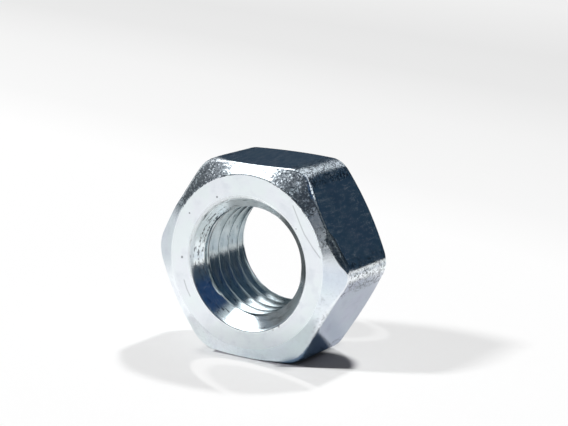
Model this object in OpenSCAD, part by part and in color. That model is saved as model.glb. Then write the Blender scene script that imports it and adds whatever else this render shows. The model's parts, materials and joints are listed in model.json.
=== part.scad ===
// Plain hexagon nut, 12 mm coarse thread, zinc-plated steel.
// It stands on one of its six flats, with the thread's axis level along Y and two corners at the left
// and right. The origin is on that axis, half way between the two bearing faces.

/* [Hexagon] */
// Width across the flats, which is what a spanner grips
across_flats = 18.8; // [18:0.1:22]
// Height of the nut, from one bearing face to the other
nut_height = 9.7; // [8:0.1:14]
// Radius of the six rounded corners
corner_r = 2.1; // [0.4:0.1:3]

/* [Corner chamfers] */
// Diameter of the flat bearing face, where the corner chamfer starts
bearing_d = 16.9; // [15:0.1:17.8]
// Slope of the corner chamfer, measured from the bearing face
chamfer_angle = 30; // [15:1:40]

/* [Hole] */
// Diameter of the hole between the thread's crests
hole_d = 10.4; // [9:0.1:12]
// Diameter of each countersink, at the bearing face
countersink_d = 12.8; // [12.2:0.1:14.6]
// Depth of each countersink, from the bearing face down to the hole
countersink_depth = 1.4; // [0.6:0.1:3]

/* [Hidden] */

$fn = 96;

// How far a cutting shape runs past the face that it opens
clearance = 1;
// The corner circles stand this far proud of the flats before they are trimmed level with them, so that
// each round corner ends in one clean edge
corner_proud = 0.01;
// The turn from one flat of a hexagon to the next, and from a flat to the corner beside it
flat_turn = 60;
half_turn = flat_turn / 2;

// Across the flats of the smaller hexagon whose corners are the centres of the rounded corners
core_flats = across_flats - 2 * corner_r;
// The chamfer's cones run out to this radius, past every corner
chamfer_reach = across_flats / 2 / cos(half_turn) + clearance;
chamfer_drop = (chamfer_reach - bearing_d / 2) * tan(chamfer_angle);
// The countersink's cone widens by this much for each millimetre towards the face
countersink_slope = (countersink_d - hole_d) / 2 / countersink_depth;

// Hexagon with round corners: a sharp hexagon, trimmed to three bands from flat to flat and a circle in
// every corner
module rounded_hexagon() {
    intersection() {
        circle(d = across_flats / cos(half_turn), $fn = 6);
        union() {
            for (turn = [half_turn : flat_turn : half_turn + 2 * flat_turn])
                rotate(turn)
                    square([across_flats + clearance, core_flats * tan(half_turn)], center = true);
            for (turn = [0 : flat_turn : 5 * flat_turn])
                rotate(turn)
                    translate([core_flats / 2 / cos(half_turn), 0])
                        circle(r = corner_r + corner_proud);
        }
    }
}

// The hexagonal bar that the nut is pressed from, along Z
module hexagon_bar() {
    linear_extrude(height = nut_height, center = true)
        rounded_hexagon();
}

// The round form that trims both ends of the bar: a disc with a cone on each side, which leaves the
// curved edges on the flats and the flat round bearing faces
module chamfer_form() {
    end = nut_height / 2;
    shoulder = end - chamfer_drop;
    rotate_extrude()
        polygon([
            [0, -end],
            [bearing_d / 2, -end],
            [chamfer_reach, -shoulder],
            [chamfer_reach, shoulder],
            [bearing_d / 2, end],
            [0, end],
        ]);
}

// One countersink, opening upwards with its wide end at z = 0
module countersink() {
    translate([0, 0, -countersink_depth])
        cylinder(
            h = countersink_depth + clearance,
            d1 = hole_d,
            d2 = countersink_d + 2 * clearance * countersink_slope
        );
}

// The hole through the nut, with a countersink at each end
module threaded_hole() {
    cylinder(h = nut_height + 2 * clearance, d = hole_d, center = true);
    for (side = [0, 1])
        mirror([0, 0, side])
            translate([0, 0, nut_height / 2])
                countersink();
}

module hex_nut() {
    color("lightsteelblue")
        rotate([90, 0, 0])
            difference() {
                intersection() {
                    hexagon_bar();
                    chamfer_form();
                }
                threaded_hole();
            }
}

hex_nut();
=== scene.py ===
"""Looks of the threaded nut: a zinc-plated steel hexagon nut that stands on one flat on a white floor.

The nut is one closed mesh, laid out as a grid of columns round the thread's axis (Y) and rows that run
from the front mouth of the hole over the outside to the back mouth, and back through the hole along the
thread. Sizes are in millimetres, apart from the floor's width and the lamps' distance and size, which are
in metres.
"""

import json
import math

import bpy
import numpy as np
from mathutils import Matrix, Vector


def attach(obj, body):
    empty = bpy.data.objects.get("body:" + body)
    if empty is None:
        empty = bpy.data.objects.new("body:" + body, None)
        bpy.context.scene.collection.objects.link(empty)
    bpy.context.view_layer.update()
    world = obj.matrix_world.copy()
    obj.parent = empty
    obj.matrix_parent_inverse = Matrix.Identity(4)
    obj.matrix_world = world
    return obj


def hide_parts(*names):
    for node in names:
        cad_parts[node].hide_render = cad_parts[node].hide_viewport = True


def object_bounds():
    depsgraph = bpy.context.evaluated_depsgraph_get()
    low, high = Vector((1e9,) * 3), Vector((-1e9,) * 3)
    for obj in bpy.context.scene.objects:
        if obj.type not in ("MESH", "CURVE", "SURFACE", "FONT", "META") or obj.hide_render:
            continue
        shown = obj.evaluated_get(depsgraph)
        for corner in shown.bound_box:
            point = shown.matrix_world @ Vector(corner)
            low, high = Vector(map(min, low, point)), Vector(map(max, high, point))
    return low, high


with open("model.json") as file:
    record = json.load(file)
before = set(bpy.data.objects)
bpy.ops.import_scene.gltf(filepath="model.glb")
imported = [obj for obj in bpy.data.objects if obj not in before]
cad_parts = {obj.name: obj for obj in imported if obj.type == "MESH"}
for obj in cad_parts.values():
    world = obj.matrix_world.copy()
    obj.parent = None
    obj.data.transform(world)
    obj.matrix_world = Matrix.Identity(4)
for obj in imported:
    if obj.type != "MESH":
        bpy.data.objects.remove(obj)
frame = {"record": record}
cad_low, cad_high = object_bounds()

MM = 0.001
TAU = 2 * math.pi
SIDES = 6
SIDE_ANGLE = TAU / SIDES
HALF_SIDE_ANGLE = SIDE_ANGLE / 2
COS_HALF = math.cos(HALF_SIDE_ANGLE)
TAN_HALF = math.tan(HALF_SIDE_ANGLE)

# The nut's sizes, from the frame
THREAD_MOUNT = next(m for m in frame["record"]["mounts"] if m["name"] == "thread")
FLATS = (cad_high.z - cad_low.z) / MM
HEIGHT = (cad_high.y - cad_low.y) / MM
CORNERS = 2 * min(cad_high.x, -cad_low.x) / MM
CORNER_R = (FLATS / 2 / COS_HALF - CORNERS / 2) / (1 / COS_HALF - 1)
HOLE_R = THREAD_MOUNT["dims"]["r_mm"]
COUNTERSINK_DEPTH = (HEIGHT - THREAD_MOUNT["dims"]["length_mm"]) / 2

# The nut's sizes that the frame doesn't give
BEARING_R = 8.45
CHAMFER_ANGLE = math.radians(30)
COUNTERSINK_R = 6.4
COUNTERSINK_SLOPE = (COUNTERSINK_R - HOLE_R) / COUNTERSINK_DEPTH

# The countersink in front was cut a little off the thread's axis, towards the lower right
FRONT_COUNTERSINK_SHIFT = (0.16, -0.16)
BACK_COUNTERSINK_SHIFT = (-0.10, 0.12)

# The thread: right-hand, with 60 degrees between its flanks. At the right a crest lies this many turns behind
# the nut's middle, and crests and roots are rounded by averaging this far to either side
PITCH = 1.75
ROOT_R = 6.15
CREST_WIDTH = 0.25
FLANK_ANGLE = math.radians(30)
THREAD_START = 0.73
THREAD_ROUNDING = 0.25
ROUNDING_SAMPLES = 9

# In front the thread grows out of a plain stretch between these depths
THREAD_FADE = (-3.35, -2.55)

# The wall's look goes over from countersink to thread between these differences of their radii
THREAD_LOOK_FADE = (-0.02, 0.12)

# Radii of the rounded edges, with what wear and a soft lip add to them, and where the lip is softest
BEARING_EDGE_R = 0.35
FLAT_EDGE_R = 0.22
WORN_EDGE_R = 0.45
LIP_R = 0.28
SOFT_LIP_R = 0.3
SOFT_LIP_ANGLE = math.radians(140)

# The corners are rounder towards the front face, from this depth behind it
FRONT_CORNER_R = 2.9
FRONT_CORNER_DEPTH = 3.2

# Columns of the mesh: across one rounded corner, and along one flat
CORNER_COLUMNS = 22
FLAT_COLUMNS = 56

# Steps between rows of the mesh: round each kind of edge, and across the ring, the chamfer and the sides
LIP_STEPS = 6
BEARING_EDGE_STEPS = 4
FLAT_EDGE_STEPS = 5
RING_STEPS = 9
CHAMFER_STEPS = 12
SIDE_STEPS = 26

# A straight stretch has one more row near each end: this far from it, or this share of a short stretch.
# A stretch counts as at least this long
SUPPORT = 0.03
SUPPORT_SHARE = 0.2
SHORTEST = 1e-6

# How far down a side a point lies that gives the side's direction at the chamfer
SIDE_POINT = 0.5

# The hole's rows end on the outside's first and last rows where they come this close to them
MOUTH_GAP = 0.02


def hexagon_radius(corner_r, angle):
    """Distance from the axis to a hexagon whose corners have this radius, at each of the angles."""
    from_flat = (angle % SIDE_ANGLE) - HALF_SIDE_ANGLE
    flat = FLATS / 2 / np.cos(from_flat)
    from_corner = HALF_SIDE_ANGLE - np.abs(from_flat)
    corner_centre = (FLATS / 2 - corner_r) / COS_HALF
    inside = np.maximum(corner_r**2 - (corner_centre * np.sin(from_corner)) ** 2, 0)
    rounded = corner_centre * np.cos(from_corner) + np.sqrt(inside)
    tangent = np.arctan2((FLATS / 2 - corner_r) * TAN_HALF, FLATS / 2)
    return np.where(np.abs(from_flat) > tangent, rounded, flat)


def column_angles():
    """Angles of the columns from +X to +Z, close together on the corners."""
    half_flat = (FLATS / 2 - CORNER_R) * TAN_HALF
    half_corner = HALF_SIDE_ANGLE - math.atan2(half_flat, FLATS / 2)
    angles = []
    for side in range(SIDES):
        corner = side * TAU / SIDES
        angles += [corner + half_corner * (2 * k / CORNER_COLUMNS - 1) for k in range(CORNER_COLUMNS)]
        for k in range(FLAT_COLUMNS):
            to_middle = half_flat * (1 - 2 * k / FLAT_COLUMNS)
            angles.append(corner + HALF_SIDE_ANGLE - math.atan2(to_middle, FLATS / 2))
    return np.array(angles)


ANGLE = column_angles()
COLUMNS = len(ANGLE)


def smooth_step(low, high, value):
    """0 at the low value, 1 at the high one, and a smooth change between them."""
    t = np.clip((value - low) / (high - low), 0, 1)
    return t * t * (3 - 2 * t)


def outer_radius(y):
    """Distance from the axis to the sides at a depth y, at every column."""
    towards_front = smooth_step(FRONT_CORNER_DEPTH - HEIGHT / 2, -HEIGHT / 2, y)
    return hexagon_radius(CORNER_R + (FRONT_CORNER_R - CORNER_R) * towards_front, ANGLE)


# A bump falls off between these two shares of its half-width
BUMP_FADE = (1.3, 0.7)


def round_the_axis(*bumps):
    """At every column, the strongest of some smooth bumps, each an angle, a half-width and a height.

    The angle and the half-width are in degrees, from +X at the right to +Z at the top.
    """
    total = np.zeros(COLUMNS)
    for centre, half_width, height in bumps:
        away = np.abs((np.degrees(ANGLE) - centre + 180) % 360 - 180)
        bump = smooth_step(half_width * BUMP_FADE[0], half_width * BUMP_FADE[1], away)
        total = np.maximum(total, height * bump)
    return total


# How rugged, grimy and hazy the chamfer is: rugged and grimy most at the two upper corners
CHAMFER_RUGGED = 0.04 + round_the_axis((57, 17, 0.45), (125, 22, 0.5), (90, 22, 0.2), (24, 7, 0.3))
CHAMFER_GRIME = round_the_axis((57, 17, 0.92), (125, 22, 1.0), (90, 22, 0.2), (24, 7, 0.25), (340, 14, 0.08))
CHAMFER_HAZY = round_the_axis((29, 14, 0.3), (130, 20, 0.2))

# The ring's edge, at both ends, and the flats' edge at the back have a share of that
RING_EDGE_RUGGED = CHAMFER_RUGGED * 0.4
RING_EDGE_GRIME = CHAMFER_GRIME * 0.6
BACK_EDGE_RUGGED = CHAMFER_RUGGED * 0.3
BACK_EDGE_GRIME = CHAMFER_GRIME * 0.3

# The flats' edge in front has its share and places of its own, and is worn in four places
FRONT_EDGE_RUGGED = np.maximum(CHAMFER_RUGGED * 0.7, round_the_axis((30, 18, 0.8), (318, 25, 0.3)))
FRONT_EDGE_GRIME = np.maximum(CHAMFER_GRIME * 0.35, round_the_axis((30, 18, 0.35), (330, 12, 0.14)))
FRONT_EDGE_HAZY = round_the_axis((130, 20, 0.8))
# At the upper right the edge in front is darker, a painted shade that hides its highlight
FRONT_EDGE_PAINTED_SHADE = round_the_axis((24, 20, 0.8))
WORN_EDGE = round_the_axis((128, 20, 1), (50, 4, 0.9), (14, 10, 1.6), (315, 30, 1.1))

# The hexagon's corners are rugged and grimy too, up to this far from them in degrees, and the flats are not
CORNER_FADE = (11, 6.5)
FROM_CORNER = np.abs((ANGLE + HALF_SIDE_ANGLE) % SIDE_ANGLE - HALF_SIDE_ANGLE)
ON_CORNER = smooth_step(math.radians(CORNER_FADE[0]), math.radians(CORNER_FADE[1]), FROM_CORNER)
CORNER_RUGGED = ON_CORNER * (0.06 + round_the_axis((60, 20, 0.24)))
ANY_CORNER_GRIME = ON_CORNER * (0.20 + round_the_axis((60, 20, 0.16)))
CORNER_GRIME = np.maximum(ANY_CORNER_GRIME, round_the_axis((357, 9, 0.30)))

# The mouths are hazy at the top and the lower right, rougher and darker at the right by a painted shade, and
# marked by the tool at the left. In front the lip is a little rougher and darker at the upper left, a painted
# shade
MOUTH_HAZY = round_the_axis((92, 30, 1), (316, 32, 0.33))
MOUTH_DULL_PAINTED_SHADE = round_the_axis((22, 32, 1))
MOUTH_TOOLED = round_the_axis((158, 36, 1))
LIP_DULL_PAINTED_SHADE = round_the_axis((140, 56, 0.22))

# How matt the turned faces and the edges beside them are
FACE_MATT = 1
EDGE_MATT = 0.5

# The mouths' roughness and painted shade set in over this share of the lip
DULL_PAINTED_SHADE_FADE = 0.4


def offset_circle(radius, shift):
    """Distance from the thread's axis to a circle whose centre is shifted, at every column."""
    along = shift[0] * np.cos(ANGLE) + shift[1] * np.sin(ANGLE)
    across = shift[0] * np.sin(ANGLE) - shift[1] * np.cos(ANGLE)
    return along + np.sqrt(radius**2 - across**2)


def straight(a, b, steps):
    """Rows between two (radius, y) points, without the points themselves, with a close row at each end."""
    length = np.hypot(b[0] - a[0], b[1] - a[1])
    near = np.minimum(SUPPORT / np.maximum(length, SHORTEST), SUPPORT_SHARE)
    shares = [near] + [np.full_like(near, k / steps) for k in range(1, steps)] + [1 - near]
    return [(a[0] + (b[0] - a[0]) * t, a[1] + (b[1] - a[1]) * t) for t in shares]


def fillet(before, corner, after, radius, steps):
    """Rows of an arc of the given radius that rounds the corner between two straight stretches."""
    b = np.stack([before[0] - corner[0], before[1] - corner[1]])
    a = np.stack([after[0] - corner[0], after[1] - corner[1]])
    b /= np.hypot(*b)
    a /= np.hypot(*a)
    half = np.arccos(np.clip((a * b).sum(0), -1, 1)) / 2
    reach = radius / np.tan(half)
    middle = a + b
    middle /= np.hypot(*middle)
    centre = middle * radius / np.sin(half)
    start = b * reach - centre
    end = a * reach - centre
    turn = math.pi - 2 * half
    rows = []
    for k in range(steps + 1):
        t = k / steps
        w0 = np.sin((1 - t) * turn) / np.sin(turn)
        w1 = np.sin(t * turn) / np.sin(turn)
        at = centre + w0 * start + w1 * end
        rows.append((corner[0] + at[0], corner[1] + at[1]))
    return rows


def end_outline(side, mouth_shift):
    """Five points of the outline at the front end (-1) or the back end (1), from the mouth to the side.

    Each is a radius and a depth y at every column: one millimetre inside the mouth, at the mouth, at the
    edge between ring and chamfer, at the edge between chamfer and side, and a little way down the side.
    """
    end_y = np.full(COLUMNS, side * HEIGHT / 2)
    mouth_r = offset_circle(COUNTERSINK_R, mouth_shift)
    # The corners' radius changes with the depth, so the edge is found again from where it was found first
    edge_y = end_y
    for _ in range(2):
        edge_r = outer_radius(edge_y)
        edge_y = end_y - side * (edge_r - BEARING_R) * math.tan(CHAMFER_ANGLE)
    side_y = edge_y - side * SIDE_POINT
    return (
        (mouth_r - COUNTERSINK_SLOPE, end_y - side),
        (mouth_r, end_y),
        (np.full(COLUMNS, BEARING_R), end_y),
        (edge_r, edge_y),
        (outer_radius(side_y), side_y),
    )


def outside_rows():
    """Rows from the front mouth over the outside to the back mouth, and the looks at each vertex of them."""
    inside, mouth, ring, edge, side = end_outline(-1, FRONT_COUNTERSINK_SHIFT)
    lip_r = LIP_R + SOFT_LIP_R * np.clip(np.cos(ANGLE - SOFT_LIP_ANGLE), 0, 1) ** 2
    lip_front = fillet(inside, mouth, ring, lip_r, LIP_STEPS)
    bearing_front = fillet(mouth, ring, edge, BEARING_EDGE_R, BEARING_EDGE_STEPS)
    flat_front = fillet(ring, edge, side, FLAT_EDGE_R + WORN_EDGE_R * WORN_EDGE, FLAT_EDGE_STEPS)

    inside, mouth, ring, edge, side = end_outline(1, BACK_COUNTERSINK_SHIFT)
    flat_back = fillet(side, edge, ring, FLAT_EDGE_R, FLAT_EDGE_STEPS)
    bearing_back = fillet(edge, ring, mouth, BEARING_EDGE_R, BEARING_EDGE_STEPS)
    lip_back = fillet(ring, mouth, inside, LIP_R, LIP_STEPS)

    ring_front = straight(lip_front[-1], bearing_front[0], RING_STEPS)
    chamfer_front = straight(bearing_front[-1], flat_front[0], CHAMFER_STEPS)
    sides = [(outer_radius(y), y) for _, y in straight(flat_front[-1], flat_back[0], SIDE_STEPS)]
    chamfer_back = straight(flat_back[-1], bearing_back[0], CHAMFER_STEPS)
    ring_back = straight(bearing_back[-1], lip_back[0], RING_STEPS)

    # Each stretch of rows, and how rugged, grimy, matt and hazy it is, and how much painted shade darkens it
    stretches = [
        (lip_front, 0, 0, EDGE_MATT, 0, LIP_DULL_PAINTED_SHADE),
        (ring_front, 0, 0, FACE_MATT, 0, 0),
        (bearing_front, RING_EDGE_RUGGED, RING_EDGE_GRIME, EDGE_MATT, 0, 0),
        (chamfer_front, CHAMFER_RUGGED, CHAMFER_GRIME, EDGE_MATT, CHAMFER_HAZY, 0),
        (flat_front, FRONT_EDGE_RUGGED, FRONT_EDGE_GRIME, 0, FRONT_EDGE_HAZY, FRONT_EDGE_PAINTED_SHADE),
        (sides, CORNER_RUGGED, CORNER_GRIME, 0, 0, 0),
        (flat_back, BACK_EDGE_RUGGED, BACK_EDGE_GRIME, 0, 0, 0),
        (chamfer_back, CHAMFER_RUGGED, CHAMFER_GRIME, 0, 0, 0),
        (bearing_back, RING_EDGE_RUGGED, RING_EDGE_GRIME, EDGE_MATT, 0, 0),
        (ring_back, 0, 0, FACE_MATT, 0, 0),
        (lip_back, 0, 0, EDGE_MATT, 0, 0),
    ]
    rows = [row for stretch in stretches for row in stretch[0]]
    looks = {}
    for k, name in enumerate(("rugged", "grime", "matt", "hazy", "dull"), 1):
        looks[name] = np.concatenate([np.broadcast_to(s[k], (COLUMNS,)) for s in stretches for _ in s[0]])

    # The lips fade into the hole, and take on its looks
    in_hole = np.zeros(len(rows))
    in_hole[:len(lip_front)] = np.linspace(1, 0, len(lip_front))
    in_hole[-len(lip_back):] = np.linspace(0, 1, len(lip_back))
    in_hole = np.repeat(in_hole, COLUMNS)
    looks["in_hole"] = in_hole
    looks["hazy"] = np.maximum(looks["hazy"], np.tile(MOUTH_HAZY, len(rows)) * in_hole)
    # The mouths' painted shade, which in the hole also makes them rougher
    dull = np.tile(MOUTH_DULL_PAINTED_SHADE, len(rows)) * smooth_step(0, DULL_PAINTED_SHADE_FADE, in_hole)
    looks["dull"] = np.maximum(looks["dull"], dull)
    looks["tooled"] = np.tile(MOUTH_TOOLED, len(rows)) * in_hole
    looks["threaded"] = np.zeros(len(in_hole))
    return rows, looks


def thread_radius(turns):
    """Radius of the thread's wall at a place given in turns along its axis: 0 is the middle of a crest.

    Crests and roots are rounded by averaging the sharp form over a short way to either side, and the
    result is stretched to reach the full depth again.
    """
    depth = ROOT_R - HOLE_R
    flank = depth * math.tan(FLANK_ANGLE)

    def rounded(place):
        share = 0
        for aside in np.linspace(-THREAD_ROUNDING, THREAD_ROUNDING, ROUNDING_SAMPLES):
            from_crest = np.abs((place + aside / PITCH + 0.5) % 1.0 - 0.5) * PITCH - CREST_WIDTH / 2
            share += np.clip(from_crest / flank, 0, 1) / ROUNDING_SAMPLES
        return share

    crest, root = rounded(0), rounded(0.5)
    return HOLE_R + depth * (rounded(turns) - crest) / (root - crest)


def hole_radius(y, turns):
    """Radius of the hole's wall at a depth y, and how far it is thread and not countersink, from 0 to 1."""
    front = offset_circle(COUNTERSINK_R, FRONT_COUNTERSINK_SHIFT) - (y + HEIGHT / 2) * COUNTERSINK_SLOPE
    back = offset_circle(COUNTERSINK_R, BACK_COUNTERSINK_SHIFT) - (HEIGHT / 2 - y) * COUNTERSINK_SLOPE
    thread = HOLE_R + (thread_radius(turns) - HOLE_R) * smooth_step(*THREAD_FADE, y)
    countersink = np.maximum(front, back)
    return np.maximum(thread, countersink), smooth_step(*THREAD_LOOK_FADE, thread - countersink)


def thread_row_shares():
    """Where the rows lie within one turn of the thread: close together at the crest's and root's edges."""
    crest = CREST_WIDTH / 2
    root = crest + (ROOT_R - HOLE_R) * math.tan(FLANK_ANGLE)
    near = THREAD_ROUNDING
    half = [0, crest / 2, crest, crest + near, (crest + root) / 2]
    half += [root - near, root, (root + PITCH / 2) / 2]
    forward = [v / PITCH for v in half]
    return forward + [0.5] + [1 - v for v in reversed(forward[1:])]


def outside_faces(row_count):
    """Faces between each row of the outside and the next."""
    faces = []
    for row in range(row_count - 1):
        here, there = row * COLUMNS, (row + 1) * COLUMNS
        for c in range(COLUMNS):
            n = (c + 1) % COLUMNS
            faces.append((here + c, there + c, there + n, here + n))
    return faces


def hole_faces(index, per_turn):
    """Faces between each row of the hole and the next, where index gives each row's vertex at each column.

    The rows follow the thread, so past the last column a row goes on as the row one turn before it. Past a
    mouth rows share vertices, so a face there has three corners left, or it is left out.
    """
    faces = []
    for j in range(len(index) - 1):
        for c in range(COLUMNS):
            if c + 1 < COLUMNS:
                low, high = index[j, c + 1], index[j + 1, c + 1]
            else:
                low = index[j - per_turn, 0] if j >= per_turn else 0
                high = index[j + 1 - per_turn, 0] if j + 1 >= per_turn else 0
            corners = (index[j, c], low, high, index[j + 1, c])
            ring = [int(v) for k, v in enumerate(corners) if v != corners[k - 1]]
            if len(ring) >= 3 and len(set(ring)) == len(ring):
                faces.append(tuple(ring))
    return faces


def nut_mesh():
    """The closed mesh: its vertices, its faces, and how the surface looks at each vertex."""
    rows, looks = outside_rows()
    cos, sin = np.cos(ANGLE), np.sin(ANGLE)
    vertices = [np.stack([r * cos, y, r * sin], axis=1) for r, y in rows]

    # The thread's rows start and end past the mouths, and its vertices there are those of the mouths' rows
    shares = thread_row_shares()
    front_y, back_y = rows[0][1], rows[-1][1]
    first_turn = math.floor(front_y.min() / PITCH) - 1
    turn_count = math.ceil((back_y.max() - front_y.min()) / PITCH) + 3
    positions = [first_turn + t + s for t in range(turn_count) for s in shares]
    last_row = (len(rows) - 1) * COLUMNS
    index = np.zeros((len(positions), COLUMNS), int)
    hole, columns, threaded = [], [], []
    for j, turns in enumerate(positions):
        y = (turns + THREAD_START - ANGLE / TAU) * PITCH
        radius, share = hole_radius(y, turns)
        for c in range(COLUMNS):
            if y[c] <= front_y[c] + MOUTH_GAP:
                index[j, c] = c
            elif y[c] >= back_y[c] - MOUTH_GAP:
                index[j, c] = last_row + c
            else:
                index[j, c] = last_row + COLUMNS + len(hole)
                hole.append((radius[c] * cos[c], y[c], radius[c] * sin[c]))
                columns.append(c)
                threaded.append(share[c])

    # The hole's looks, with the mouths' painted shade
    hole_looks = {"in_hole": np.ones(len(hole)), "threaded": threaded, "hazy": MOUTH_HAZY[columns]}
    hole_looks.update(dull=MOUTH_DULL_PAINTED_SHADE[columns], tooled=MOUTH_TOOLED[columns])
    for name in looks:
        looks[name] = np.concatenate([looks[name], hole_looks.get(name, np.zeros(len(hole)))])
    faces = outside_faces(len(rows)) + hole_faces(index, len(shares))
    return np.vstack(vertices + [np.array(hole)]), faces, looks


def make_nut():
    points, faces, looks = nut_mesh()
    mesh = bpy.data.meshes.new("zinc_nut")
    mesh.from_pydata([tuple(p) for p in points * MM], [], faces)
    for name, values in looks.items():
        mesh.attributes.new(name, "FLOAT", "POINT").data.foreach_set("value", values.astype(np.float32))
    mesh.update()
    mesh.materials.append(zinc_material())
    for polygon in mesh.polygons:
        polygon.use_smooth = True
    nut = bpy.data.objects.new("zinc_nut", mesh)
    bpy.context.scene.collection.objects.link(nut)
    triangles = sum(len(polygon.vertices) - 2 for polygon in mesh.polygons)
    print("nut mesh:", len(mesh.vertices), "vertices", triangles, "triangles")
    return nut


class Tree:
    """Short ways to make and join the nodes of a material or world."""

    def __init__(self, owner):
        owner.use_nodes = True
        self.nodes, self.links = owner.node_tree.nodes, owner.node_tree.links
        self.nodes.clear()

    def node(self, kind, *values, **settings):
        """A new node, with these values in its first inputs."""
        made = self.nodes.new(kind)
        for name, value in settings.items():
            setattr(made, name, value)
        for socket, value in zip(made.inputs, values):
            self.join(value, socket)
        return made

    def join(self, value, socket):
        """Link a socket to another, or set it to a number, a vector or a colour."""
        if isinstance(value, bpy.types.NodeSocket):
            self.links.new(value, socket)
        elif isinstance(value, (int, float)) or len(value) == len(socket.default_value):
            socket.default_value = value
        else:
            socket.default_value = (*value, 1)

    def math(self, operation, *values):
        return self.node("ShaderNodeMath", *values, operation=operation).outputs["Value"]

    def vector(self, operation, *values):
        """What a calculation with vectors gives as a vector."""
        return self.node("ShaderNodeVectorMath", *values, operation=operation).outputs["Vector"]

    def measure(self, operation, *values):
        """What a calculation with vectors gives as a number."""
        return self.node("ShaderNodeVectorMath", *values, operation=operation).outputs["Value"]

    def fade(self, value, low, high, low_result=0, high_result=1):
        """A smooth step between two values."""
        values = (value, low, high, low_result, high_result)
        return self.node("ShaderNodeMapRange", *values, interpolation_type="SMOOTHSTEP").outputs["Result"]

    def mix(self, share, first, second):
        return self.node("ShaderNodeMixRGB", share, first, second).outputs["Color"]

    def mix_shader(self, share, first, second):
        return self.node("ShaderNodeMixShader", share, first, second).outputs["Shader"]

    def ramp(self, value, stops):
        made = self.node("ShaderNodeValToRGB", value)
        elements = made.color_ramp.elements
        while len(elements) < len(stops):
            elements.new(1)
        for element, (at, colour) in zip(elements, stops):
            element.position = at
            element.color = (*colour, 1)
        return made.outputs["Color"]

    def place(self):
        """Where on its object a point lies."""
        return self.node("ShaderNodeTexCoord").outputs["Object"]

    def part(self, vector, axis):
        """The X, Y or Z part of a vector."""
        return self.node("ShaderNodeSeparateXYZ", vector).outputs[axis]

    def attribute(self, name):
        return self.node("ShaderNodeAttribute", attribute_name=name).outputs["Fac"]

    def noise(self, size_mm, detail, squash=(1, 1, 1)):
        """Noise whose features are about this many millimetres wide."""
        texture = self.node("ShaderNodeTexNoise")
        texture.inputs["Scale"].default_value = 1 / (size_mm * MM)
        texture.inputs["Detail"].default_value = detail
        self.join(self.vector("MULTIPLY", self.place(), squash), texture.inputs["Vector"])
        return texture.outputs["Fac"]

    def cells(self, size_mm):
        """A random colour for each of many small cells."""
        texture = self.node("ShaderNodeTexVoronoi")
        texture.inputs["Scale"].default_value = 1 / (size_mm * MM)
        self.join(self.place(), texture.inputs["Vector"])
        return texture.outputs["Color"]

    def bump(self, height, depth_mm):
        made = self.node("ShaderNodeBump")
        made.inputs["Strength"].default_value = 1
        made.inputs["Distance"].default_value = depth_mm * MM
        self.join(height, made.inputs["Height"])
        return made


# Tints of the zinc. Plate and thread have several, each with the value of a noise where it lies. The plate is
# passivated blue with a trace of green and lilac
PLATE_TINTS = ((0.38, (0.91, 0.975, 0.99)), (0.5, (0.92, 0.97, 1.0)), (0.62, (0.92, 0.955, 1.0)))
COUNTERSINK_TINT = (0.90, 0.955, 0.97)
SMUDGE_TINT = (0.68, 0.74, 0.79)
# The dark tint of the painted shade at the mouths and on the edge in front
PAINTED_SHADE_TINT = (0.15, 0.175, 0.18)
THREAD_TINTS = ((0.35, (0.50, 0.57, 0.59)), (0.65, (0.60, 0.66, 0.675)))
PIT_DIRT = (0.05, 0.062, 0.078)

# Noises in the metal: size in millimetres, detail, and where it isn't 1 the squash along X, Y and Z
PLATE_TINT_NOISE = (2.6, 2)
SMUDGE_NOISE = (1.3, 5)
GRIME_NOISE = (0.6, 2)
HAZE_NOISE = (0.4, 4, (1.4, 0.3, 1.4))
PLATE_ROUGH_NOISE = (1.2, 3)
PLATE_BUMP_NOISE = (0.15, 2)
ROUND_LINES_NOISE = (0.10, 1.5, (0.12, 1, 0.12))
THREAD_TINT_NOISE = (0.9, 3, (1, 0.5, 1))
THREAD_ROUGH_NOISE = (0.8, 3)
DOT_NOISE = (0.35, 2)

# Between which values of their noises these set in. Smudges and haze grow from nothing to the last number
SMUDGE_FADE = (0.50, 0.74, 0, 0.36)
HAZE_FADE = (0.42, 0.75, 0, 0.06)
MOUTH_LINES_FADE = (0.58, 0.70)
THREAD_LINES_FADE = (0.62, 0.72)
DOT_FADE = (0.44, 0.56)

# How dirty the lines round the mouths and the thread are
MOUTH_LINE_STRENGTH = 0.85
THREAD_LINE_STRENGTH = 0.5

# Grime covers small cells. How much patches change it, how fast it grows with its cover, the soft edge of
# what is covered, and the cover at which it is at its strongest and how strong that is
GRIME_CELL = 0.13
GRIME_PATCHES = 1.2
GRIME_GROWTH = 0.9
GRIME_EDGE = (0.30, -0.25)
GRIME_STRENGTH = (0, 0.25, 0, 0.9)

# How much of the plate's tint any dirt hides, and how much of the metal is oxide where it is hazy
DIRT_STRENGTH = 0.9
HAZY_SHARE = 0.45

# The facets of the rugged parts: their size and how far they lean
FACET_SIZE = 0.12
FACET_LEAN = 0.32

# Roughness: the least of plate and thread, how much their noise adds, and what each of the looks adds
PLATE_ROUGH = 0.10
PLATE_ROUGH_NOISY = 0.08
THREAD_ROUGH = 0.17
THREAD_ROUGH_NOISY = 0.10
MATT_ROUGH = 0.16
RUGGED_ROUGH = 0.22
DULL_ROUGH = 0.35

# How the thread shines along its lines, and how deep the small bumps of plate and thread are
THREAD_ANISOTROPY = 0.85
QUARTER_TURN = 0.25
PLATE_BUMP = 0.003
THREAD_BUMP = 0.005

# Lines that the tool left round the front mouth: depth, width, and whether broken into dots. Then how strong
# a line is that isn't broken
TOOL_LINES = ((-3.2, 0.14, False), (-3.9, 0.08, True), (-4.2, 0.07, True))
TOOL_LINE_STRENGTH = 0.8

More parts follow.
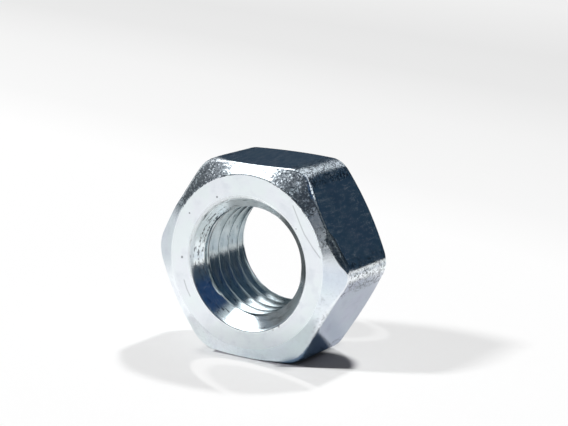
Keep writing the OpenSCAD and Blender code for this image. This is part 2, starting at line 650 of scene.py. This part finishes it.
# Marks of use on the front, x and z in millimetres: round pits with their radius, and scratches with bends
FRONT_PITS = (
    (-3.95, 3.55, 0.15), (-5.69, 0.05, 0.13), (-3.2, 4.2, 0.10), (-2.4, 4.8, 0.09), (-7.14, -0.53, 0.16),
    (-3.33, 5.88, 0.14), (3.9, -5.5, 0.16), (5.4, 4.07, 0.08), (3.3, -5.95, 0.09), (-6.4, 3.9, 0.12),
)
FRONT_SCRATCHES = (
    ((4.99, 6.18), (5.75, 4.7), (6.3, 3.7), (7.3, 2.5), (8.05, 1.74)),
    ((-6.85, -2.76), (-6.5, -3.6), (-6.11, -4.23)),
)

# How far a scratch reaches to its sides and past its ends, how strong it is, and how strong all marks are
SCRATCH_WIDTH = 0.09
SCRATCH_END = 0.1
SCRATCH_STRENGTH = 0.45
FRONT_MARK_STRENGTH = 0.8

# Shares of their radius or width within which pits and lines are at their strongest
PIT_CORE = 0.4
LINE_CORE = 0.3

# The marks on the front set in between these depths
FRONT_FADE = (-HEIGHT / 4, -HEIGHT / 3)


def front_marks(tree):
    """How deep in a mark of use a place on the front of the nut is, from 0 to 1."""
    place = tree.place()
    flat = tree.vector("MULTIPLY", place, (1, 0, 1))
    marks = 0
    for x, z, radius in FRONT_PITS:
        away = tree.measure("DISTANCE", flat, (x * MM, 0, z * MM))
        marks = tree.math("MAXIMUM", marks, tree.fade(away, radius * MM, radius * PIT_CORE * MM))
    lines = [line for points in FRONT_SCRATCHES for line in zip(points, points[1:])]
    for (x0, z0), (x1, z1) in lines:
        length = math.hypot(x1 - x0, z1 - z0)
        along = ((x1 - x0) / length, 0, (z1 - z0) / length)
        from_middle = tree.vector("SUBTRACT", flat, ((x0 + x1) / 2 * MM, 0, (z0 + z1) / 2 * MM))
        on_line = tree.math("ABSOLUTE", tree.measure("DOT_PRODUCT", from_middle, along))
        off_line = tree.math("ABSOLUTE", tree.measure("DOT_PRODUCT", from_middle, (-along[2], 0, along[0])))
        scratch = tree.fade(off_line, SCRATCH_WIDTH * MM, SCRATCH_WIDTH * LINE_CORE * MM)
        ends = tree.fade(on_line, (length / 2 + SCRATCH_END) * MM, length / 2 * MM)
        scratch = tree.math("MULTIPLY", tree.math("MULTIPLY", scratch, ends), SCRATCH_STRENGTH)
        marks = tree.math("MAXIMUM", marks, scratch)
    low, high = FRONT_FADE
    return tree.math("MULTIPLY", marks, tree.fade(tree.part(place, "Y"), low * MM, high * MM))


def tool_marks(tree):
    """How deep in one of the tool's lines a place in the mouth is, from 0 to 1."""
    depth = tree.part(tree.place(), "Y")
    dots = tree.fade(tree.noise(*DOT_NOISE), *DOT_FADE)
    marks = 0
    for at, width, dotted in TOOL_LINES:
        away = tree.math("ABSOLUTE", tree.math("SUBTRACT", depth, at * MM))
        line = tree.fade(away, width * MM, width * LINE_CORE * MM)
        line = tree.math("MULTIPLY", line, dots if dotted else TOOL_LINE_STRENGTH)
        marks = tree.math("MAXIMUM", marks, line)
    return tree.math("MULTIPLY", marks, tree.attribute("tooled"))


def plate_colour(tree, in_hole, marks):
    """The plate's tint, with smudges, painted shade at the mouths and edges, and dirt in its cells, lines and
    marks.
    """
    tint = tree.ramp(tree.noise(*PLATE_TINT_NOISE), PLATE_TINTS)
    tint = tree.mix(tree.fade(tree.noise(*SMUDGE_NOISE), *SMUDGE_FADE), tint, SMUDGE_TINT)
    tint = tree.mix(in_hole, tint, COUNTERSINK_TINT)
    # Painted shade: darker where the metal should look as if it mirrors something dark
    tint = tree.mix(tree.attribute("dull"), tint, PAINTED_SHADE_TINT)

    # Grime covers more and more of the small cells, and sits in patches
    cell = tree.node("ShaderNodeSeparateColor", tree.cells(GRIME_CELL)).outputs["Red"]
    cell = tree.math("SUBTRACT", cell, GRIME_PATCHES / 2)
    chance = tree.math("MULTIPLY_ADD", tree.noise(*GRIME_NOISE), GRIME_PATCHES, cell)
    cover = tree.attribute("grime")
    grime = tree.math("SUBTRACT", chance, tree.math("MULTIPLY", cover, GRIME_GROWTH))
    grime = tree.math("MULTIPLY", tree.fade(grime, *GRIME_EDGE), tree.fade(cover, *GRIME_STRENGTH))

    lines = tree.fade(tree.noise(*ROUND_LINES_NOISE), *MOUTH_LINES_FADE)
    lines = tree.math("MULTIPLY", lines, tree.math("MULTIPLY", in_hole, MOUTH_LINE_STRENGTH))
    dirt = tree.math("MAXIMUM", tree.math("MAXIMUM", grime, lines), marks)
    return tree.mix(tree.math("MULTIPLY", dirt, DIRT_STRENGTH), tint, PIT_DIRT)


def plate_roughness(tree, in_hole):
    rough = tree.math("MULTIPLY_ADD", tree.noise(*PLATE_ROUGH_NOISE), PLATE_ROUGH_NOISY, PLATE_ROUGH)
    rough = tree.math("MULTIPLY_ADD", tree.attribute("matt"), MATT_ROUGH, rough)
    rough = tree.math("MULTIPLY_ADD", tree.attribute("rugged"), RUGGED_ROUGH, rough)
    dull_in_hole = tree.math("MULTIPLY", tree.attribute("dull"), in_hole)
    return tree.math("MULTIPLY_ADD", dull_in_hole, DULL_ROUGH, rough)


def plate_normal(tree):
    """Fine bumps everywhere. The rugged parts are a mosaic of small facets that lean at random."""
    facets = tree.vector("SUBTRACT", tree.cells(FACET_SIZE), (0.5, 0.5, 0.5))
    lean = tree.node("ShaderNodeVectorMath", facets, operation="SCALE")
    tree.join(tree.math("MULTIPLY", tree.attribute("rugged"), FACET_LEAN), lean.inputs["Scale"])
    normal = tree.node("ShaderNodeNewGeometry").outputs["Normal"]
    normal = tree.vector("NORMALIZE", tree.vector("ADD", normal, lean.outputs["Vector"]))
    bump = tree.bump(tree.noise(*PLATE_BUMP_NOISE), PLATE_BUMP)
    tree.join(normal, bump.inputs["Normal"])
    return bump.outputs["Normal"]


def plate(tree, marks):
    """Bright zinc plate: smooth on the turned faces and flats, finely pitted on chamfers and corners."""
    in_hole = tree.attribute("in_hole")
    shader = tree.node("ShaderNodeBsdfPrincipled")
    tree.join(plate_colour(tree, in_hole, marks), shader.inputs["Base Color"])
    tree.join(plate_roughness(tree, in_hole), shader.inputs["Roughness"])
    tree.join(plate_normal(tree), shader.inputs["Normal"])

    # A thin haze of oxide, which shows where the metal mirrors something dark
    haze = tree.fade(tree.noise(*HAZE_NOISE), *HAZE_FADE)
    haze = tree.math("MULTIPLY_ADD", tree.attribute("hazy"), HAZY_SHARE, haze)
    tree.join(tree.math("SUBTRACT", 1, haze), shader.inputs["Metallic"])
    return shader.outputs["BSDF"]


def thread(tree, marks):
    """Dull zinc in the hole, with the fine lines that the tap left round it."""
    shader = tree.node("ShaderNodeBsdfPrincipled")
    shader.inputs["Metallic"].default_value = 1
    shader.inputs["Anisotropic"].default_value = THREAD_ANISOTROPY
    shader.inputs["Anisotropic Rotation"].default_value = QUARTER_TURN
    round_axis = tree.node("ShaderNodeTangent", direction_type="RADIAL", axis="Y")
    tree.join(round_axis.outputs["Tangent"], shader.inputs["Tangent"])

    round_lines = tree.noise(*ROUND_LINES_NOISE)
    tint = tree.ramp(tree.noise(*THREAD_TINT_NOISE), THREAD_TINTS)
    lines = tree.math("MULTIPLY", tree.fade(round_lines, *THREAD_LINES_FADE), THREAD_LINE_STRENGTH)
    dirt = tree.math("MAXIMUM", lines, marks)
    rough = tree.math("MULTIPLY_ADD", tree.noise(*THREAD_ROUGH_NOISE), THREAD_ROUGH_NOISY, THREAD_ROUGH)
    tree.join(tree.mix(dirt, tint, PIT_DIRT), shader.inputs["Base Color"])
    tree.join(rough, shader.inputs["Roughness"])
    tree.join(tree.bump(round_lines, THREAD_BUMP).outputs["Normal"], shader.inputs["Normal"])
    return shader.outputs["BSDF"]


def zinc_material():
    material = bpy.data.materials.new("zinc")
    tree = Tree(material)
    marks = tree.math("MULTIPLY", front_marks(tree), FRONT_MARK_STRENGTH)
    marks = tree.math("MAXIMUM", marks, tool_marks(tree))
    surface = tree.mix_shader(tree.attribute("threaded"), plate(tree, marks), thread(tree, marks))
    tree.node("ShaderNodeOutputMaterial", surface)
    return material


def direction(azimuth, elevation):
    """Towards a place seen from the nut, in degrees. Azimuth 0 is straight in front, and 90 to the right."""
    a, e = math.radians(azimuth), math.radians(elevation)
    return Vector((math.sin(a) * math.cos(e), -math.cos(a) * math.cos(e), math.sin(e)))


# The camera, at the photograph's viewing angle: what it aims at, where it is seen from there, and its lens
CAMERA_AIM = (0.455, 1.241, 3.850)
CAMERA_DISTANCE = 170.4
CAMERA_AZIMUTH = 30.613
CAMERA_ELEVATION = 12.254
CAMERA_ROLL = math.radians(2.03)
CAMERA_LENS = 112.17
CAMERA_SENSOR = 36
CAMERA_CLIP = 10


def make_camera():
    camera = bpy.data.objects.new("camera", bpy.data.cameras.new("camera"))
    camera.data.lens = CAMERA_LENS
    camera.data.sensor_width = CAMERA_SENSOR
    camera.data.clip_start = CAMERA_CLIP * MM
    away = direction(CAMERA_AZIMUTH, CAMERA_ELEVATION)
    place = (Vector(CAMERA_AIM) + away * CAMERA_DISTANCE) * MM
    turn = away.to_track_quat("Z", "Y").to_matrix().to_4x4() @ Matrix.Rotation(CAMERA_ROLL, 4, "Z")
    camera.matrix_world = Matrix.Translation(place) @ turn
    bpy.context.scene.collection.objects.link(camera)
    bpy.context.scene.camera = camera


# Lamps that cast the two shadows: azimuth, elevation, distance and size in metres, light on the floor below
LAMPS = {
    "key": (-47, 45, 2.0, 0.26, 0.43),
    "back": (176, 60, 2.0, 0.16, 0.43),
}

# Half the floor's width, in metres, and its colour
FLOOR_REACH = 3.0
FLOOR_COLOUR = (0.97, 0.97, 0.97)

# The floor's tone at distances behind the nut, in millimetres, along a line that leans to the right: a
# painted shade that greys the floor behind the nut
FLOOR_TONES = ((50, 1.0), (72, 0.94), (115, 0.90), (160, 0.82), (205, 0.80), (300, 0.87))
FLOOR_LEAN = (0.30, 0.95)

# Share of the floor that is plain white for the camera: less than 1 keeps the shadows. The same share for
# what the metal mirrors near the nut, and the depths between which it grows in front of the nut, and to what
WHITE_SHARE = 0.46
MIRRORED_WHITE_SHARE = 0.2
MIRRORED_WHITE_IN_FRONT = ((-12, -50), 0.36)

# The share falls to nothing within this far of the flat that the nut stands on
CONTACT_RIM = 1.6

# It is nothing too under the side that overhangs that flat: centre and two radii of a circle, cut off in
# front along a line: its direction and two distances
OVERHANG = ((6.2, -1.6), 3.2, 4.6)
OVERHANG_FRONT = ((-0.525, 0.851), -6.5, -6.1)

# For the camera the floor is of this tone there, and in a line this wide round the flat that the nut stands
# on, where that flat counts as this much shorter at its left and right ends
DEEP_SHADOW_TONE = (0.34, 0.33, 0.36)
CONTACT_LINE = 0.35
CONTACT_ENDS = 0.8

# Painted light on the floor where the nut's front (-1) or back (1) ring would throw a lamp's light: the lamp,
# the ring, and the share of white there
THROWN_LIGHT = (("key", -1, 0.8), ("back", 1, 0.65))

# The share of that painted light inside the ring, and its blur: the least, and what height on the ring adds
# to it
THROWN_INSIDE = 0.7
THROWN_BLUR = 0.2
THROWN_BLUR_GROWTH = 0.06

# Painted shade on parts of the floor, seen only where the metal mirrors them: centre, radius of the dark part
# and of its fade, tone
DIM_FLOORS = (
    ((-400, 100), 377, 390, (0.66, 0.68, 0.71)),
    ((32, -42), 15, 44, (0.73, 0.78, 0.84)),
    ((4, -9), 4, 9, (0.82, 0.86, 0.87)),
    ((9, 10), 4, 11, (0.68, 0.70, 0.78)),
    ((6.5, 2.5), 1.5, 5.0, (0.74, 0.76, 0.81)),
    ((36, 43), 6, 24, (0.64, 0.67, 0.71)),
    ((5.2, -0.8), 3.2, 3.9, (0.18, 0.25, 0.36)),
)


def from_spot(tree, place, spot):
    """Distance on the floor from a spot."""
    return tree.measure("DISTANCE", place, (spot[0] * MM, spot[1] * MM, cad_low.z))


def from_rectangle(tree, place, half_width, half_depth):
    """Distance on the floor from a rectangle of this size under the nut's middle."""
    away = tree.vector("ABSOLUTE", place)
    away = tree.vector("SUBTRACT", away, (half_width * MM, half_depth * MM, -cad_low.z))
    return tree.measure("LENGTH", tree.vector("MAXIMUM", away, (0, 0, 0)))


def thrown_ring(tree, place, lamp, side):
    """Where on the floor light is painted that a lamp would throw after one of the nut's flat rings mirrored
    it, from 0 to 1.
    """
    light = direction(*LAMPS[lamp][:2])
    from_ring = tree.math("SUBTRACT", tree.part(place, "Y"), side * HEIGHT / 2 * MM)
    height = tree.math("MULTIPLY", from_ring, light.z / light.y)
    x = tree.math("MULTIPLY_ADD", height, light.x / light.z, tree.part(place, "X"))
    on_ring = tree.node("ShaderNodeCombineXYZ", x, 0, tree.math("ADD", height, cad_low.z))
    radius = tree.measure("LENGTH", on_ring.outputs["Vector"])
    blur = tree.math("MULTIPLY_ADD", tree.math("MAXIMUM", height, 0), THROWN_BLUR_GROWTH, THROWN_BLUR * MM)

    def edge(edge_r):
        return tree.math("SUBTRACT", edge_r * MM, blur), tree.math("ADD", edge_r * MM, blur)

    inner, outer = edge(COUNTERSINK_R), edge(BEARING_R)
    inside = tree.fade(radius, outer[1], outer[0])
    return tree.math("MULTIPLY", tree.fade(radius, *inner, THROWN_INSIDE, 1), inside)


def floor_tint(tree, place, mirrored):
    """The floor's colour, with painted shade: a little grey behind the nut, and darker in parts for what the
    metal mirrors.
    """
    reach = FLOOR_TONES[-1][0]
    behind = tree.measure("DOT_PRODUCT", place, (*FLOOR_LEAN, 0))
    stops = [(distance / reach, (tone, tone, tone)) for distance, tone in FLOOR_TONES]
    # Painted shade: greyer further behind the nut
    colour = tree.ramp(tree.math("DIVIDE", behind, reach * MM), stops)
    # Painted shade that only the metal mirrors
    for centre, dark, fade, tone in DIM_FLOORS:
        dim = tree.fade(from_spot(tree, place, centre), fade * MM, dark * MM)
        shade = tree.mix(tree.math("MULTIPLY", dim, mirrored), (1, 1, 1), tone)
        colour = tree.vector("MULTIPLY", colour, shade)
    return colour


def beside_overhang(tree, place):
    """Where on the floor a place isn't under the nut's overhanging side: 0 under it, 1 elsewhere."""
    centre, dark, fade = OVERHANG
    away = tree.fade(from_spot(tree, place, centre), dark * MM, fade * MM)
    along, low, high = OVERHANG_FRONT
    behind = tree.measure("DOT_PRODUCT", place, (*along, 0))
    return tree.math("MAXIMUM", away, tree.fade(behind, high * MM, low * MM))


def floor_material():
    """Matt white. Part of it is plain white for the camera, and it keeps the shadows, with a painted deep
    shadow at the foot, painted light from the rings and painted shade in what the metal mirrors.
    """
    material = bpy.data.materials.new("floor_white")
    tree = Tree(material)
    place = tree.place()
    path = tree.node("ShaderNodeLightPath")
    for_camera, mirrored = path.outputs["Is Camera Ray"], path.outputs["Is Glossy Ray"]
    colour = floor_tint(tree, place, mirrored)
    beside = beside_overhang(tree, place)

    # The matt floor, with the deepest shadow in its own tone
    half_foot = (FLATS / 2 - CORNER_R) * TAN_HALF
    half_contact = HEIGHT / 2 - (FLATS / 2 - BEARING_R) * math.tan(CHAMFER_ANGLE)
    from_contact = from_rectangle(tree, place, half_foot - CONTACT_ENDS, half_contact)
    line = tree.fade(from_contact, CONTACT_LINE * MM, 0)
    deep = tree.math("MAXIMUM", tree.math("SUBTRACT", 1, beside), line)
    own_colour = tree.mix(tree.math("MULTIPLY", deep, for_camera), FLOOR_COLOUR, DEEP_SHADOW_TONE)
    matt = tree.node("ShaderNodeBsdfDiffuse", tree.vector("MULTIPLY", colour, own_colour))
    white = tree.node("ShaderNodeEmission", colour)

    # How much of it is plain white: what the camera sees, and what the metal mirrors
    share = tree.fade(from_rectangle(tree, place, half_foot, HEIGHT / 2), 0, CONTACT_RIM * MM)
    share = tree.math("MULTIPLY", share, beside)
    seen = tree.math("MULTIPLY", share, WHITE_SHARE)
    # Painted light where the rings would throw the lamps' light
    for lamp, side, thrown_share in THROWN_LIGHT:
        thrown = tree.math("MULTIPLY", thrown_ring(tree, place, lamp, side), thrown_share)
        seen = tree.math("MAXIMUM", seen, thrown)
    (near, far), most = MIRRORED_WHITE_IN_FRONT
    white_mirrored = tree.fade(tree.part(place, "Y"), near * MM, far * MM, MIRRORED_WHITE_SHARE, most)
    white_mirrored = tree.math("MULTIPLY", white_mirrored, tree.math("MULTIPLY", share, mirrored))
    share = tree.math("ADD", tree.math("MULTIPLY", seen, for_camera), white_mirrored)
    surface = tree.mix_shader(share, matt.outputs["BSDF"], white.outputs["Emission"])
    tree.node("ShaderNodeOutputMaterial", surface)
    return material


def make_floor():
    z = cad_low.z
    mesh = bpy.data.meshes.new("floor")
    corners = [(-FLOOR_REACH, -FLOOR_REACH, z), (FLOOR_REACH, -FLOOR_REACH, z)]
    corners += [(FLOOR_REACH, FLOOR_REACH, z), (-FLOOR_REACH, FLOOR_REACH, z)]
    mesh.from_pydata(corners, [], [(0, 1, 2, 3)])
    mesh.materials.append(floor_material())
    floor = bpy.data.objects.new("floor", mesh)
    bpy.context.scene.collection.objects.link(floor)


# Soft lit areas that the metal mirrors: azimuth, elevation, radii of the bright part and of its fade, colour
GLOWS = (
    (0, 90, 8, 30, (0.6, 0.68, 0.72)),
    (55, 45, 12, 32, (0.014, 0.040, 0.105)),
    (8, 34, 10, 28, (0.030, 0.064, 0.105)),
    (-39, 38, 15, 21, (2.3, 2.4, 2.45)),
    (100, 44, 13, 21, (1.0, 1.08, 1.13)),
    (-55, 56, 23, 27, (3.2, 3.3, 3.4)),
    (-172, 54, 25, 30, (0.70, 0.75, 0.80)),
    (-70, -2, 4, 16, (0.26, 0.31, 0.33)),
    (-108, 28, 12, 30, (0.33, 0.38, 0.41)),
    (14, 12, 5, 16, (0.085, 0.09, 0.105)),
    (160, 12, 8, 26, (0.016, 0.034, 0.058)),
)
NAVY = (0.032, 0.053, 0.080)
AMBIENT = (0.16, 0.16, 0.16)
WHITE = (1, 1, 1)


def make_world():
    """White for the camera, even soft light for the floor, and for the metal a dark room with lit areas."""
    world = bpy.data.worlds.new("studio")
    bpy.context.scene.world = world
    tree = Tree(world)
    path = tree.node("ShaderNodeLightPath")
    place = tree.node("ShaderNodeTexCoord").outputs["Generated"]
    room = NAVY
    for azimuth, elevation, bright, radius, light in GLOWS:
        near = tree.measure("DOT_PRODUCT", place, direction(azimuth, elevation))
        share = tree.fade(near, math.cos(math.radians(radius)), math.cos(math.radians(bright)))
        room = tree.mix(share, room, light)

    def background(colour):
        return tree.node("ShaderNodeBackground", colour).outputs["Background"]

    metal = tree.mix_shader(path.outputs["Is Glossy Ray"], background(AMBIENT), background(room))
    seen = tree.mix_shader(path.outputs["Is Camera Ray"], metal, background(WHITE))
    tree.node("ShaderNodeOutputWorld", seen)


def make_lamp(name, azimuth, elevation, distance, size, share):
    """A round soft lamp that faces the nut, and gives a level floor this share of white's light."""
    lamp = bpy.data.lights.new(name, "AREA")
    lamp.shape = "DISK"
    lamp.size = size
    away = direction(azimuth, elevation)
    lamp.energy = share * math.pi * math.pi * distance**2 / away.z
    thing = bpy.data.objects.new(name, lamp)
    turn = away.to_track_quat("Z", "Y").to_matrix().to_4x4()
    thing.matrix_world = Matrix.Translation(away * distance) @ turn
    thing.visible_camera = False
    thing.visible_glossy = False
    bpy.context.scene.collection.objects.link(thing)


make_camera()
make_floor()
make_world()
for name, settings in LAMPS.items():
    make_lamp(name, *settings)

nut = make_nut()
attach(nut, "root")
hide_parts("hex_nut")

bpy.context.scene.view_settings.view_transform = "Standard"
